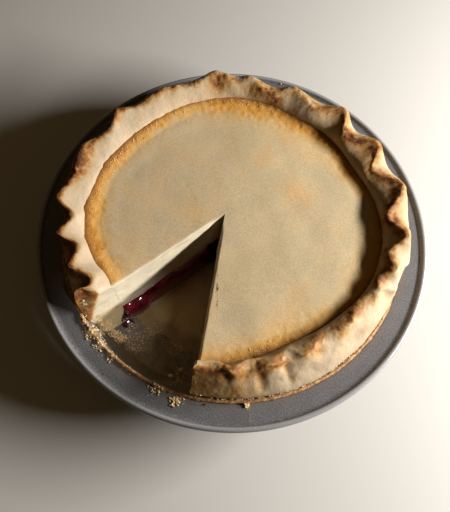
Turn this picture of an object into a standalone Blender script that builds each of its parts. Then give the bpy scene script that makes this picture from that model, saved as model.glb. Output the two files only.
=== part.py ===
"""A cherry pie with one slice taken out, in its own wide-rimmed tin.

The tin stands on z = 0 with its axis on Z, and the middle of the gap points along -Y.
Angles are in degrees, counter-clockwise from +X, and all sizes are in metres.
"""

import math

import bmesh
import bpy
from mathutils import Vector, noise

MM = 0.001

# The tin, one pressed sheet: a deep well and a wide flat flange with a rolled edge.
FLANGE_R = 134 * MM
MOUTH_R = 115.7 * MM
FLOOR_R = 103.5 * MM
WELL_DEPTH = 38 * MM
SHEET = 1.0 * MM
FLOOR_FILLET = 6 * MM
MOUTH_FILLET = 2.5 * MM
BEAD_R = 1.5 * MM
FLANGE_Z = SHEET + WELL_DEPTH
TIN_SEGMENTS = 72

# The layers, from the bottom crust up to the pale top.
CLEARANCE = 0.4 * MM
CRUST_FLOOR_TOP = 4.4 * MM
CHERRY_TOP = 20.6 * MM
CREAM_TOP = 53.5 * MM
CREAM_DROOP = 1.2 * MM
CREAM_SHOULDER = 9 * MM
LAYER_SEGMENTS = 72
FLOOR_INNER_R = 95.5 * MM
INNER_R = 99.8 * MM

# Places where the crust is thicker, so that the top layer is narrower: (angle, width, depth).
INNER_DENTS = (
    (58, 20, 6.5 * MM),
    (91, 16, 4.6 * MM),
    (-32, 32, 10.8 * MM),
    (242, 18, 11.0 * MM),
)

# The pinched rim, one row a pinch: the angle and the radius of its point, then those of the fold
# after it. They follow the ridge, the inner edge of the crest. The first row lies in the gap.
PINCHES = (
    (-74.0, 100.5 * MM, -66.0, 98.0 * MM),
    (-59.8, 101.0 * MM, -53.3, 96.5 * MM),
    (-45.8, 98.5 * MM, -38.8, 95.5 * MM),
    (-33.3, 99.5 * MM, -24.8, 96.0 * MM),
    (-14.8, 100.5 * MM, -5.8, 98.0 * MM),
    (3.2, 103.5 * MM, 7.0, 101.5 * MM),
    (12.2, 108.5 * MM, 17.7, 104.0 * MM),
    (24.7, 113.0 * MM, 32.2, 102.5 * MM),
    (42.7, 115.0 * MM, 52.7, 102.5 * MM),
    (60.7, 114.3 * MM, 70.7, 102.0 * MM),
    (78.2, 114.3 * MM, 87.2, 104.5 * MM),
    (97.7, 110.5 * MM, 105.7, 104.5 * MM),
    (114.7, 111.0 * MM, 119.7, 109.0 * MM),
    (127.2, 115.0 * MM, 138.2, 109.0 * MM),
    (147.7, 111.5 * MM, 158.7, 108.5 * MM),
    (166.2, 114.5 * MM, 174.2, 107.5 * MM),
    (184.2, 114.5 * MM, 197.2, 106.0 * MM),
    (205.2, 116.0 * MM, 210.7, 105.0 * MM),
    (217.7, 113.0 * MM, 223.2, 101.5 * MM),
    (230.2, 108.5 * MM, 236.7, 98.5 * MM),
    (243.8, 110.5 * MM, 249.5, 101.0 * MM),
)
PINCH_SHARPNESS = 0.6
RIM_Z = 62.3 * MM
PINCH_LIFT = 2.0 * MM
RIM_UNEVEN = 1.2 * MM

# The crest's top slopes outwards from the ridge. It is wide in the folds of the right side, where
# the crust also hangs over the tin's mouth.
CREST_SLOPE = 0.35
POINT_WIDTH = 2.4 * MM
FOLD_WIDTH = 4.8 * MM
WIDER_FOLD = 9.4 * MM
WIDE_ANGLE = 32
WIDE_SPREAD = 62
FOOT_R = 113.4 * MM
FOOT_Z = FLANGE_Z + 1.0 * MM
FOOT_UNEVEN = 0.4 * MM
BULGE = 6.0 * MM
BULGE_ANGLE = 40
BULGE_SPREAD = 28
LEAVES_WALL_Z = 27 * MM
CRUST_SEGMENTS = 160

# The gap where the slice was. Its sides lean into it towards the bottom.
GAP_TIP = Vector((-7.9 * MM, 2.9 * MM))
LEFT_CUT_ANGLE = 247.7
RIGHT_CUT_ANGLE = 292.0
LEFT_SLUMP = 6.0 * MM
RIGHT_SLUMP = 3.0 * MM
CUT_FLOOR = 4.0 * MM
CUTTER_REACH = 170 * MM
CUTTER_TOP = 90 * MM

# The bottom crust that stayed in the gap ends in a ragged edge short of the tin's wall.
REMNANT_R = 78 * MM
REMNANT_RAG = 8 * MM
REMNANT_LEDGE = 1.0 * MM
REMNANT_STEPS = 16

# Cherries that bulge out of the two cut faces: (distance from the tip, height, half length).
LEFT_CHERRIES = (
    (24 * MM, 12.0 * MM, 7.5 * MM),
    (38 * MM, 11.4 * MM, 8.5 * MM),
    (53 * MM, 12.4 * MM, 8.0 * MM),
    (67 * MM, 11.6 * MM, 8.5 * MM),
    (80 * MM, 12.2 * MM, 7.0 * MM),
)
RIGHT_CHERRIES = (
    (20 * MM, 12.2 * MM, 7.0 * MM),
    (34 * MM, 11.6 * MM, 8.0 * MM),
    (49 * MM, 12.4 * MM, 8.5 * MM),
    (64 * MM, 11.5 * MM, 8.0 * MM),
    (78 * MM, 12.2 * MM, 7.5 * MM),
)
CHERRY_HALF_HEIGHT = 6.6 * MM
CHERRY_HALF_DEPTH = 6.0 * MM
CHERRY_SUNK = 3.6 * MM

# The thin browned skirt of dough that baked onto the tin round its mouth.
SKIRT_INNER_R = 114.5 * MM
SKIRT_WIDTH = 1.8 * MM
SKIRT_HEIGHT = 1.1 * MM
SKIRT_UNEVEN = 0.45 * MM
SKIRT_GAP = 0.3 * MM
SKIRT_SEGMENTS = 96


def clear_scene():
    for obj in list(bpy.data.objects):
        bpy.data.objects.remove(obj)


def material(name, colour, roughness, metallic=0.0):
    made = bpy.data.materials.new(name)
    made.use_nodes = True
    shader = made.node_tree.nodes["Principled BSDF"]
    shader.inputs["Base Color"].default_value = (*colour, 1.0)
    shader.inputs["Roughness"].default_value = roughness
    shader.inputs["Metallic"].default_value = metallic
    return made


def add_object(name, mesh, finish=None):
    obj = bpy.data.objects.new(name, mesh)
    bpy.context.scene.collection.objects.link(obj)
    if finish:
        mesh.materials.append(finish)
    return obj


def cutter(name, mesh):
    obj = add_object(name, mesh)
    obj.hide_render = True
    obj.display_type = "WIRE"
    return obj


def subtract(obj, tool):
    cut = obj.modifiers.new("cut_by_" + tool.name, "BOOLEAN")
    cut.operation = "DIFFERENCE"
    cut.solver = "EXACT"
    cut.object = tool


def polar(radius, angle, z):
    turn = math.radians(angle)
    return Vector((radius * math.cos(turn), radius * math.sin(turn), z))


def angle_from(angle, centre):
    """How far an angle lies from a centre, from -180 to 180."""
    return (angle - centre + 180) % 360 - 180


def bump(angle, centre, width):
    return math.exp(-((angle_from(angle, centre) / width) ** 2))


def fillet(before, corner, after, radius, steps):
    """The arc of that radius that rounds a corner of an (r, z) outline."""
    back = (before - corner).normalized()
    ahead = (after - corner).normalized()
    half = back.angle(ahead) / 2
    tangent = radius / math.tan(half)
    centre = corner + (back + ahead).normalized() * (radius / math.sin(half))
    start = corner + back * tangent - centre
    sweep = start.angle_signed(corner + ahead * tangent - centre)
    points = []
    for step in range(steps + 1):
        turn = -sweep * step / steps
        points.append(centre + Vector((
            start.x * math.cos(turn) - start.y * math.sin(turn),
            start.x * math.sin(turn) + start.y * math.cos(turn),
        )))
    return points


def well_outline(inset, floor_z, steps=3):
    """The well's inner side from its floor to its wall, moved in by an inset."""
    slope = Vector((MOUTH_R - FLOOR_R, WELL_DEPTH)).normalized()
    inwards = Vector((-slope.y, slope.x)) * inset
    low = Vector((FLOOR_R, SHEET)) + inwards
    corner = low + slope * ((floor_z - low.y) / slope.y)
    top = Vector((MOUTH_R, FLANGE_Z)) + inwards
    arc = fillet(Vector((0, floor_z)), corner, top, FLOOR_FILLET, steps)
    return arc, top


def turned(name, section_at, segments, closed_on_axis):
    """Turns a section round Z. section_at gives its (r, z) points at an angle.

    A section whose two ends lie over the axis closes there in two fans, and any other in a ring.
    """
    solid = bmesh.new()
    columns = []
    for step in range(segments):
        angle = 360 * step / segments
        columns.append([solid.verts.new(polar(r, angle, z)) for r, z in section_at(angle)])
    last = len(columns[0]) - 1
    for here, after in zip(columns, columns[1:] + columns[:1]):
        for row in range(last):
            solid.faces.new((here[row], after[row], after[row + 1], here[row + 1]))
        if not closed_on_axis:
            solid.faces.new((here[last], after[last], after[0], here[0]))
    if closed_on_axis:
        for row in (0, last):
            pole = solid.verts.new((0, 0, columns[0][row].co.z))
            for here, after in zip(columns, columns[1:] + columns[:1]):
                solid.faces.new((here[row], pole, after[row]))
    bmesh.ops.recalc_face_normals(solid, faces=solid.faces)
    mesh = bpy.data.meshes.new(name)
    solid.to_mesh(mesh)
    solid.free()
    return mesh


def shade(mesh, sharp_degrees=40):
    mesh.shade_smooth()
    mesh.set_sharp_from_angle(angle=math.radians(sharp_degrees))


def tin():
    arc, top = well_outline(0, SHEET)
    flange_end = Vector((FLANGE_R - 2 * BEAD_R, FLANGE_Z))
    mouth = fillet(arc[-1], top, flange_end, MOUTH_FILLET, 3)
    inner = arc + mouth
    outer = []
    for index, point in enumerate(inner):
        before = inner[max(index - 1, 0)]
        after = inner[min(index + 1, len(inner) - 1)]
        along = (after - before).normalized()
        outer.append(point + Vector((along.y, -along.x)) * SHEET)
    outer[0] = Vector((inner[0].x, 0))
    bead_centre = Vector((FLANGE_R - BEAD_R, FLANGE_Z + BEAD_R / 2 - SHEET / 2))
    bead = [Vector((FLANGE_R - 1.87 * BEAD_R, FLANGE_Z - SHEET))]
    for turn in range(-90, 151, 60):
        swing = math.radians(turn)
        bead.append(bead_centre + Vector((math.cos(swing), math.sin(swing))) * BEAD_R)
    section = outer + bead + list(reversed(inner))
    mesh = turned("tin", lambda angle: section, TIN_SEGMENTS, True)
    shade(mesh)
    return add_object("tin", mesh, material("tin_metal", (0.17, 0.17, 0.18), 0.45, 0.7))


def inner_radius(angle):
    """The crust's inner face where the top layer meets it."""
    return INNER_R - sum(depth * bump(angle, at, width) for at, width, depth in INNER_DENTS)


def pinch_wave(angle):
    """(radius of the ridge, 1 at a pinch's point and 0 in a fold) at an angle."""
    start = PINCHES[0][0]
    angle = (angle - start) % 360 + start
    for index, (at, point, fold_at, fold) in enumerate(PINCHES):
        next_at, next_point = PINCHES[(index + 1) % len(PINCHES)][:2]
        if next_at < at:
            next_at += 360
        if at <= angle < next_at:
            if angle < fold_at:
                share = 0.5 * (angle - at) / (fold_at - at)
                reach = point
            else:
                share = 0.5 + 0.5 * (angle - fold_at) / (next_at - fold_at)
                reach = next_point
            cusp = 1 - math.sin(math.pi * share)
            wave = 0.5 + 0.5 * math.cos(2 * math.pi * share)
            height = wave + (cusp - wave) * PINCH_SHARPNESS
            return fold + (reach - fold) * height, height
    raise ValueError("angle outside the rim")


def rim_noise(angle, seed):
    turn = math.radians(angle)
    return noise.noise(Vector((3.1 * math.cos(turn), 3.1 * math.sin(turn), seed)))


def crust_section(angle):
    """The crust's section: up its outer side in the tin, over the rim, and down to its floor."""
    in_tin, _ = well_outline(CLEARANCE, SHEET + CLEARANCE)
    ridge, point_share = pinch_wave(angle)
    fold_width = FOLD_WIDTH + WIDER_FOLD * bump(angle, WIDE_ANGLE, WIDE_SPREAD)
    width = fold_width + (POINT_WIDTH - fold_width) * point_share
    top = RIM_Z + PINCH_LIFT * point_share + RIM_UNEVEN * rim_noise(angle, 1.0)
    inner = inner_radius(angle)
    wall_r = FLOOR_R + (MOUTH_R - FLOOR_R) * (LEAVES_WALL_Z - SHEET) / WELL_DEPTH
    foot = FOOT_R + FOOT_UNEVEN * rim_noise(angle, 2.0)
    belly = foot + BULGE * bump(angle, BULGE_ANGLE, BULGE_SPREAD)
    drop = CREST_SLOPE * width
    return in_tin + [
        (wall_r - CLEARANCE, LEAVES_WALL_Z),
        (foot, FOOT_Z),
        (belly, FOOT_Z + 5 * MM),
        (belly + (ridge + width - belly) * 0.5, FOOT_Z + 12 * MM),
        (ridge + width, top - drop - 1.6 * MM),
        (ridge + 0.6 * width, top - 0.5 * drop),
        (ridge, top),
        (ridge - 1.3 * MM, top - 1.7 * MM),
        (inner + (ridge - inner) * 0.4, CREAM_TOP + 2.6 * MM),
        (inner, CREAM_TOP - 2.5 * MM),
        (inner, CHERRY_TOP),
        (FLOOR_INNER_R, CRUST_FLOOR_TOP),
    ]


def crust():
    mesh = turned("crust", crust_section, CRUST_SEGMENTS, True)
    shade(mesh, 60)
    return add_object("crust", mesh, material("crust", (0.74, 0.52, 0.29), 0.72))


def filling_section(angle):
    edge = min(inner_radius(angle), FLOOR_INNER_R) - CLEARANCE
    return [(edge, CRUST_FLOOR_TOP + CLEARANCE), (edge, CHERRY_TOP - CLEARANCE)]


def cream_section(angle):
    """The top layer's section. It slopes down a little over its shoulder."""
    edge = inner_radius(angle) - CLEARANCE
    flat = edge - CREAM_SHOULDER
    return [
        (edge, CHERRY_TOP),
        (edge, CREAM_TOP - CREAM_DROOP),
        (edge - 0.35 * CREAM_SHOULDER, CREAM_TOP - 0.42 * CREAM_DROOP),
        (flat, CREAM_TOP),
        (0.7 * flat, CREAM_TOP),
        (0.35 * flat, CREAM_TOP),
    ]


def layer(name, section_at, colour, roughness):
    mesh = turned(name, section_at, LAYER_SEGMENTS, True)
    shade(mesh)
    return add_object(name, mesh, material(name, colour, roughness))


def cut_side(angle, slump, z, side):
    """(a point, the direction) of one side of the gap at a height. side is 1 left, -1 right."""
    turn = math.radians(angle)
    along = Vector((math.cos(turn), math.sin(turn)))
    into_gap = Vector((-along.y, along.x)) * side
    lean = slump * (CREAM_TOP - z) / (CREAM_TOP - CUT_FLOOR)
    return GAP_TIP + into_gap * lean, along


def gap_corners(z):
    """The gap's plan at a height: its tip, then the far ends of its left and right sides."""
    left, left_way = cut_side(LEFT_CUT_ANGLE, LEFT_SLUMP, z, 1)
    right, right_way = cut_side(RIGHT_CUT_ANGLE, RIGHT_SLUMP, z, -1)
    across = right - left
    run = (across.x * right_way.y - across.y * right_way.x) / left_way.cross(right_way)
    tip = left + left_way * run
    return [tip, left + left_way * CUTTER_REACH, right + right_way * CUTTER_REACH]


def prism(name, lower, lower_z, upper, upper_z):
    """A closed solid between two outlines with the same number of corners."""
    solid = bmesh.new()
    low = [solid.verts.new((*point, lower_z)) for point in lower]
    high = [solid.verts.new((*point, upper_z)) for point in upper]
    solid.faces.new(low)
    solid.faces.new(high)
    for step in range(len(low)):
        following = (step + 1) % len(low)
        solid.faces.new((low[step], low[following], high[following], high[step]))
    bmesh.ops.recalc_face_normals(solid, faces=solid.faces)
    mesh = bpy.data.meshes.new(name)
    solid.to_mesh(mesh)
    solid.free()
    return mesh


def gap_cutter():
    mesh = prism("gap", gap_corners(CUT_FLOOR), CUT_FLOOR, gap_corners(CUTTER_TOP), CUTTER_TOP)
    return cutter("gap", mesh)


def remnant_cutter():
    """Takes the bottom crust out of the gap between its ragged edge and the tin's wall."""
    left, left_way = cut_side(LEFT_CUT_ANGLE, LEFT_SLUMP, CUT_FLOOR, 1)
    right, right_way = cut_side(RIGHT_CUT_ANGLE, RIGHT_SLUMP, CUT_FLOOR, -1)
    left = left + Vector((-left_way.y, left_way.x)) * REMNANT_LEDGE
    right = right - Vector((-right_way.y, right_way.x)) * REMNANT_LEDGE
    ragged = []
    for step in range(REMNANT_STEPS + 1):
        share = step / REMNANT_STEPS
        rag = REMNANT_RAG * noise.fractal(Vector((share * 3.1, 4.2, 0)), 1.1, 2.0, 3)
        run = REMNANT_R + rag
        ragged.append((left + left_way * run).lerp(right + right_way * run, share))
    reach = CUTTER_REACH
    outline = ragged + [right + right_way * reach, left + left_way * reach]
    mesh = prism("bare_floor", outline, -SHEET, outline, 2 * CUT_FLOOR)
    return cutter("bare_floor", mesh)


def cherry(place, turn, half_length):
    solid = bmesh.new()
    bmesh.ops.create_icosphere(solid, subdivisions=2, radius=1.0)
    bmesh.ops.scale(solid, verts=solid.verts, vec=(half_length, CHERRY_HALF_DEPTH, CHERRY_HALF_HEIGHT))
    mesh = bpy.data.meshes.new("cherry")
    solid.to_mesh(mesh)
    solid.free()
    obj = bpy.data.objects.new("cherry", mesh)
    obj.location = place
    obj.rotation_euler = (0, 0, math.radians(turn))
    return obj


def cherries():
    """The cherries of both cut faces, sunk so that a cap of each stands out of its face."""
    group = bpy.data.collections.new("cherries")
    bpy.context.scene.collection.children.link(group)
    sides = (
        (LEFT_CHERRIES, LEFT_CUT_ANGLE, LEFT_SLUMP, 1),
        (RIGHT_CHERRIES, RIGHT_CUT_ANGLE, RIGHT_SLUMP, -1),
    )
    for rows, angle, slump, side in sides:
        for run, height, half_length in rows:
            start, along = cut_side(angle, slump, height, side)
            into_gap = Vector((-along.y, along.x)) * side
            place = start + along * run - into_gap * CHERRY_SUNK
            group.objects.link(cherry((*place, height), angle, half_length))
    return group


def fuse(obj, group):
    """Joins a collection's objects to obj for good, then removes them."""
    join = obj.modifiers.new("fuse", "BOOLEAN")
    join.operation = "UNION"
    join.solver = "EXACT"
    join.operand_type = "COLLECTION"
    join.collection = group
    bpy.context.view_layer.update()
    graph = bpy.context.evaluated_depsgraph_get()
    mesh = bpy.data.meshes.new_from_object(obj.evaluated_get(graph))
    obj.modifiers.clear()
    obj.data = mesh
    for extra in list(group.objects):
        bpy.data.objects.remove(extra)
    bpy.data.collections.remove(group)


def skirt():
    low = FLANGE_Z + SKIRT_GAP

    def section_at(angle):
        outer = SKIRT_INNER_R + SKIRT_WIDTH + SKIRT_UNEVEN * rim_noise(4 * angle, 5.0)
        high = low + SKIRT_HEIGHT + SKIRT_UNEVEN * rim_noise(5 * angle, 6.0)
        return [
            (SKIRT_INNER_R, low),
            (outer, low),
            (SKIRT_INNER_R + 0.6 * SKIRT_WIDTH, high),
            (SKIRT_INNER_R + 0.15 * SKIRT_WIDTH, high),
        ]

    mesh = turned("dough_skirt", section_at, SKIRT_SEGMENTS, False)
    shade(mesh)
    return add_object("dough_skirt", mesh, material("dough_skirt", (0.55, 0.31, 0.12), 0.7))


def main():
    clear_scene()
    gap = gap_cutter()
    bare_floor = remnant_cutter()
    tin()
    skirt()
    shell = crust()
    subtract(shell, gap)
    subtract(shell, bare_floor)
    filling = layer("cherry_filling", filling_section, (0.16, 0.008, 0.014), 0.12)
    subtract(filling, gap)
    fuse(filling, cherries())
    cream = layer("cream_layer", cream_section, (0.82, 0.69, 0.50), 0.6)
    subtract(cream, gap)


main()
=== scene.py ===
import math

import bmesh
import bpy
import numpy as np
from mathutils import Matrix, Vector, noise
from mathutils.bvhtree import BVHTree


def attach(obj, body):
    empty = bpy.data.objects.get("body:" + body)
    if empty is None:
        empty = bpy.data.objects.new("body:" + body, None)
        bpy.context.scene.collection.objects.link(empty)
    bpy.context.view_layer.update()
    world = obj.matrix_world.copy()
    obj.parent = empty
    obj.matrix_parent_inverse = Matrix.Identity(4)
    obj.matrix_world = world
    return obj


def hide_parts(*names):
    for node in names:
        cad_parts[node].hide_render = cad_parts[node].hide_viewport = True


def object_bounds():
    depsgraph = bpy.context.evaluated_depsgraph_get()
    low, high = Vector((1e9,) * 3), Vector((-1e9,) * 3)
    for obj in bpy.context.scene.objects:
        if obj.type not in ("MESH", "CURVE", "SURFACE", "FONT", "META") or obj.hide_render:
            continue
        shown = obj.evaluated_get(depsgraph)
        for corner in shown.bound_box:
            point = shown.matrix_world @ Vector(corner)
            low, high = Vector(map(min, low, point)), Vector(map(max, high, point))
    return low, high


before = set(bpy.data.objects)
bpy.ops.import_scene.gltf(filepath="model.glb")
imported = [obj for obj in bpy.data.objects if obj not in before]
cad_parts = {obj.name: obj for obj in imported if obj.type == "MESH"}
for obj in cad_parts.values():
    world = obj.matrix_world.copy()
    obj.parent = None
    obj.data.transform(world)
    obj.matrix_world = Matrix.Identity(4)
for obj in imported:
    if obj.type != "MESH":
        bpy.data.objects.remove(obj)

# A cherry pie with one slice taken out, in its wide-rimmed tin. Sizes are in metres and angles in
# degrees, counter-clockwise from +X. A place round the pie is given as (angle, spread).

CAD_LOW, CAD_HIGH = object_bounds()
MM = 0.001

# The tin.
FLANGE_R = 133.8 * MM
MOUTH_R = 115.7 * MM
FLOOR_R = 103.5 * MM
WELL_DEPTH = 38 * MM
SHEET = 1.0 * MM
FLOOR_FILLET = 6 * MM
MOUTH_FILLET = 2.5 * MM
BEAD_R = 2.0 * MM
BEAD_Z = 38.8 * MM
FLANGE_Z = SHEET + WELL_DEPTH
TIN_SEGMENTS = 360

# The layers.
CLEARANCE = 0.4 * MM
CRUST_FLOOR_TOP = 4.4 * MM
CHERRY_TOP = 20.6 * MM
CREAM_TOP = 53.5 * MM
CREAM_RISE = 2.4 * MM
CREAM_SHOULDER = 9 * MM
FLOOR_INNER_R = 95.5 * MM
INNER_R = 99.8 * MM
SUNK_IN = 0.5 * MM

# Places where the crust is thicker: angle, width and depth in mm.
INNER_DENTS = np.array((
    (58, 20, 6.5),
    (91, 16, 4.6),
    (-32, 32, 10.8),
    (242, 18, 11.0),
    (163, 24, 4.0),
    (203, 26, 2.2),
)) * (1, 1, MM)

# The pinched rim: the angle and ridge radius in mm of each point, and of the fold after it.
PINCHES = np.array((
    (-74.0, 100.5, -66.0, 98.0),
    (-59.8, 101.0, -53.3, 96.5),
    (-45.8, 98.5, -38.8, 95.5),
    (-33.3, 99.5, -24.8, 96.0),
    (-14.8, 100.5, -5.8, 98.0),
    (3.2, 103.5, 7.0, 101.5),
    (12.2, 108.5, 17.7, 104.0),
    (24.7, 113.0, 32.2, 102.5),
    (42.7, 115.0, 52.7, 102.5),
    (60.7, 114.3, 70.7, 102.0),
    (78.2, 114.3, 87.2, 104.5),
    (97.7, 110.5, 105.7, 104.5),
    (114.7, 111.0, 119.7, 109.0),
    (127.2, 115.0, 138.2, 109.0),
    (147.7, 111.5, 158.7, 108.5),
    (166.2, 114.5, 174.2, 107.5),
    (184.2, 114.5, 196.0, 110.8),
    (205.2, 116.0, 210.7, 105.0),
    (217.7, 113.0, 223.2, 101.5),
    (230.2, 108.5, 236.7, 98.5),
    (243.8, 110.5, 249.5, 101.0),
)) * (1, MM, 1, MM)
PINCH_SHARPNESS = 0.5
BLUNTED = 0.42
BLUNT_SIDE = (30, 85)
WALL_LEAN = 0.16
# The inner slope starts higher over the pale layer on the right.
SHELF = 3.0 * MM
HIGHER_SHELF = 1.9 * MM
SHELF_SIDE = (40, 55)
RIM_Z = 62.3 * MM
PINCH_LIFT = 2.0 * MM
RIM_UNEVEN = 1.2 * MM
RIM_HIGHEST = 64.8 * MM
# On the right the rim rises as it leans out, and is highest at this radius.
LEAN_SLOPE = 0.36
LEAN_R = 113 * MM
LEAN_SIDE = (10, 40)
# How far inwards and down the section's next point lies from the crest.
CREST_INSIDE = (2.7 * MM, 0.9 * MM)
CREST_SLOPE = 0.35
POINT_WIDTH = 3.0 * MM
FOLD_WIDTH = 4.8 * MM
WIDER_FOLD = 9.4 * MM
WIDE_SIDE = (32, 62)
FOOT_R = 113.7 * MM
FOOT_Z = FLANGE_Z + 1.0 * MM
FOOT_UNEVEN = 0.4 * MM
LIP_TEETH = 0.8 * MM
BULGE = 6.0 * MM
BULGE_SIDE = (40, 28)
LEAVES_WALL_Z = 27 * MM
CREAM_SIDE_LOW = 24 * MM

# The gap.
GAP_TIP = np.array((-7.9 * MM, 2.9 * MM))
LEFT_CUT_ANGLE = 247.7
RIGHT_CUT_ANGLE = 292.0
LEFT_SLUMP = 6.0 * MM
RIGHT_SLUMP = 3.0 * MM
CUT_FLOOR = 4.0 * MM
REMNANT_R = 78 * MM
REMNANT_RAG = 6 * MM

# Cherries that bulge out of the cut faces, in mm: distance from the tip, height, half length and
# how far.
LEFT_CHERRIES = np.array((
    (24, 13.0, 8.0, 3.0),
    (38, 12.4, 9.0, 3.4),
    (53, 12.8, 9.0, 3.2),
    (66, 11.0, 8.0, 2.4),
    (79, 12.6, 8.5, 5.4),
)) * MM
RIGHT_CHERRIES = np.array((
    (20, 12.2, 7.0, 0.8),
    (34, 11.6, 8.0, 1.0),
    (49, 12.4, 8.5, 0.8),
    (64, 11.5, 8.0, 1.0),
    (78, 12.2, 7.5, 0.8),
)) * MM
CHERRY_HALF_HEIGHT = 7.4 * MM

# The dough that baked onto the tin round its mouth.
SKIRT_INNER_R = 114.0 * MM
SKIRT_WIDTH = 2.7 * MM
SKIRT_HEIGHT = 1.1 * MM
SKIRT_UNEVEN = 0.45 * MM
SKIRT_GAP = 0.3 * MM
SKIRT_LUMPS = 40
SKIRT_SEGMENTS = 1440

# The camera stands where the photograph was taken from, in a frame turned by CAMERA_SPIN about the
# pie's axis and set on the flange.
CAMERA_SPIN = 29.2
CAMERA_POS = Vector((-0.004422, -0.172033, 0.376489))
CAMERA_RIGHT = Vector((0.99923, 0.03634, 0.01485))
CAMERA_UP = Vector((-0.03926, 0.92502, 0.37787))
CAMERA_LENS = 42.1875
CAMERA_SENSOR = 36
PHOTO_SIZE = (450, 512)
FOCAL_PIXELS = CAMERA_LENS / CAMERA_SENSOR * PHOTO_SIZE[1]


# Noise on arrays of points

TURN_OCTAVE = np.array(Matrix.Rotation(0.7, 3, Vector((0.3, 0.8, 0.52)).normalized()))


def lattice(cells, seed):
    """A fixed number from 0 to 1 for each whole-numbered cell."""
    x, y, z = (cells[..., axis].astype(np.int64) for axis in range(3))
    mixed = x * 374761393 + y * 668265263 + z * 1442695041 + seed * 97531
    mixed = (mixed ^ (mixed >> 13)) * 1274126177
    mixed = mixed ^ (mixed >> 16)
    return (mixed & 0xFFFFFF) / 0xFFFFFF


def lumps(points, size, seed):
    """Smooth noise from -1 to 1 with lumps of that size."""
    scaled = points / size + 1000.5
    cells = np.floor(scaled)
    share = scaled - cells
    share = share * share * (3 - 2 * share)
    total = np.zeros(len(points))
    for corner in np.ndindex(2, 2, 2):
        weight = np.prod(np.where(corner, share, 1 - share), axis=1)
        total += weight * lattice(cells + corner, seed)
    return 2 * total - 1


def fractal(points, size, seed, octaves=3):
    """Noise of several sizes, the largest of which is given in mm."""
    size = size * MM
    total = np.zeros(len(points))
    for octave in range(octaves):
        total += lumps(points, size, seed + octave) * 0.5 ** octave
        size = size / 2
        points = points @ TURN_OCTAVE
    return total


def smooth(low, high, value):
    share = np.clip((value - low) / (high - low), 0, 1)
    return share * share * (3 - 2 * share)


def bell(value, width):
    """1 where the value is 0, falling to 0 on both sides of it."""
    return np.exp(-(value / width) ** 2)


def bump(angle, centre, width):
    return bell((angle - centre + 180) % 360 - 180, width)


def unit(angle):
    turn = np.radians(angle)
    return np.stack([np.cos(turn), np.sin(turn)], axis=-1)


def angle_of(points):
    return np.degrees(np.arctan2(points[:, 1], points[:, 0]))


def radius_of(points):
    return np.hypot(points[:, 0], points[:, 1])


def outwards(points, normals):
    """How far a surface faces away from the axis, from -1 to 1."""
    return (normals[:, :2] * points[:, :2]).sum(axis=1) / np.maximum(radius_of(points), MM)


# Meshes

def solid(name, patches):
    """A mesh from grids of points, each (rows, columns, 3), welded where they meet."""
    points = []
    faces = []
    start = 0
    for patch in patches:
        rows, columns = patch.shape[:2]
        number = start + np.arange(rows * columns).reshape(rows, columns)
        quads = np.stack([number[:-1, :-1], number[1:, :-1], number[1:, 1:], number[:-1, 1:]], -1)
        faces.append(quads.reshape(-1, 4))
        points.append(patch.reshape(-1, 3))
        start += rows * columns
    mesh = bpy.data.meshes.new(name)
    mesh.from_pydata(np.concatenate(points).tolist(), [], np.concatenate(faces).tolist())
    weld = bmesh.new()
    weld.from_mesh(mesh)
    bmesh.ops.remove_doubles(weld, verts=weld.verts, dist=0.004 * MM)
    bmesh.ops.dissolve_degenerate(weld, edges=weld.edges, dist=0.002 * MM)
    bmesh.ops.recalc_face_normals(weld, faces=weld.faces)
    weld.to_mesh(mesh)
    weld.free()
    return mesh


def read(mesh, name):
    """The places ("co") or the normals ("normal") of a mesh's points."""
    values = np.zeros(len(mesh.vertices) * 3, np.float32)
    mesh.vertices.foreach_get(name, values)
    return values.reshape(-1, 3).astype(float)


def set_points(mesh, points):
    mesh.vertices.foreach_set("co", points.astype(np.float32).ravel())
    mesh.update()


def paint(mesh, name, values):
    """Stores one number a point, which a material reads by name."""
    layer = mesh.attributes.new(name, "FLOAT", "POINT")
    layer.data.foreach_set("value", values.astype(np.float32))


def linked(name, data):
    """A new object in the scene."""
    obj = bpy.data.objects.new(name, data)
    bpy.context.scene.collection.objects.link(obj)
    return obj


def piece(name, mesh, material, replaced=None, sharp=False):
    mesh.materials.append(material)
    mesh.shade_smooth()
    if sharp:
        mesh.set_sharp_from_angle(angle=SHARP_EDGE)
    obj = linked(name, mesh)
    if replaced:
        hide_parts(replaced)
    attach(obj, "root")
    return obj


# The pie's form

NEXT_POINTS = np.roll(PINCHES[:, :2], -1, axis=0)
NEXT_POINTS[-1, 0] += 360


def pinch_wave(angle):
    """(radius of the ridge, 1 at a pinch's point and 0 in a fold) at angles."""
    start = PINCHES[0, 0]
    angle = (angle - start) % 360 + start
    index = np.searchsorted(PINCHES[:, 0], angle, side="right") - 1
    point_at, point, fold_at, fold = PINCHES[index].T
    next_at, next_point = NEXT_POINTS[index].T
    falling = angle < fold_at
    share = np.where(
        falling,
        0.5 * (angle - point_at) / (fold_at - point_at),
        0.5 + 0.5 * (angle - fold_at) / (next_at - fold_at),
    )
    reach = np.where(falling, point, next_point)
    cusp = 1 - np.sin(np.pi * share)
    wave = 0.5 + 0.5 * np.cos(2 * np.pi * share)
    sharp = PINCH_SHARPNESS - BLUNTED * bump(angle, *BLUNT_SIDE)
    height = wave + (cusp - wave) * sharp
    return fold + (reach - fold) * height, height


def rim_table(seed):
    places = [Vector((*(3.1 * unit(angle)), seed)) for angle in range(361)]
    return [noise.noise(place) for place in places]


RIM_TABLES = {seed: rim_table(seed) for seed in (1.0, 2.0, 5.0, 6.0)}


def rim_noise(angle, seed):
    return np.interp(angle % 360, np.arange(361), RIM_TABLES[seed])


def inner_radius(angle):
    return INNER_R - sum(depth * bump(angle, at, width) for at, width, depth in INNER_DENTS)


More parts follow.
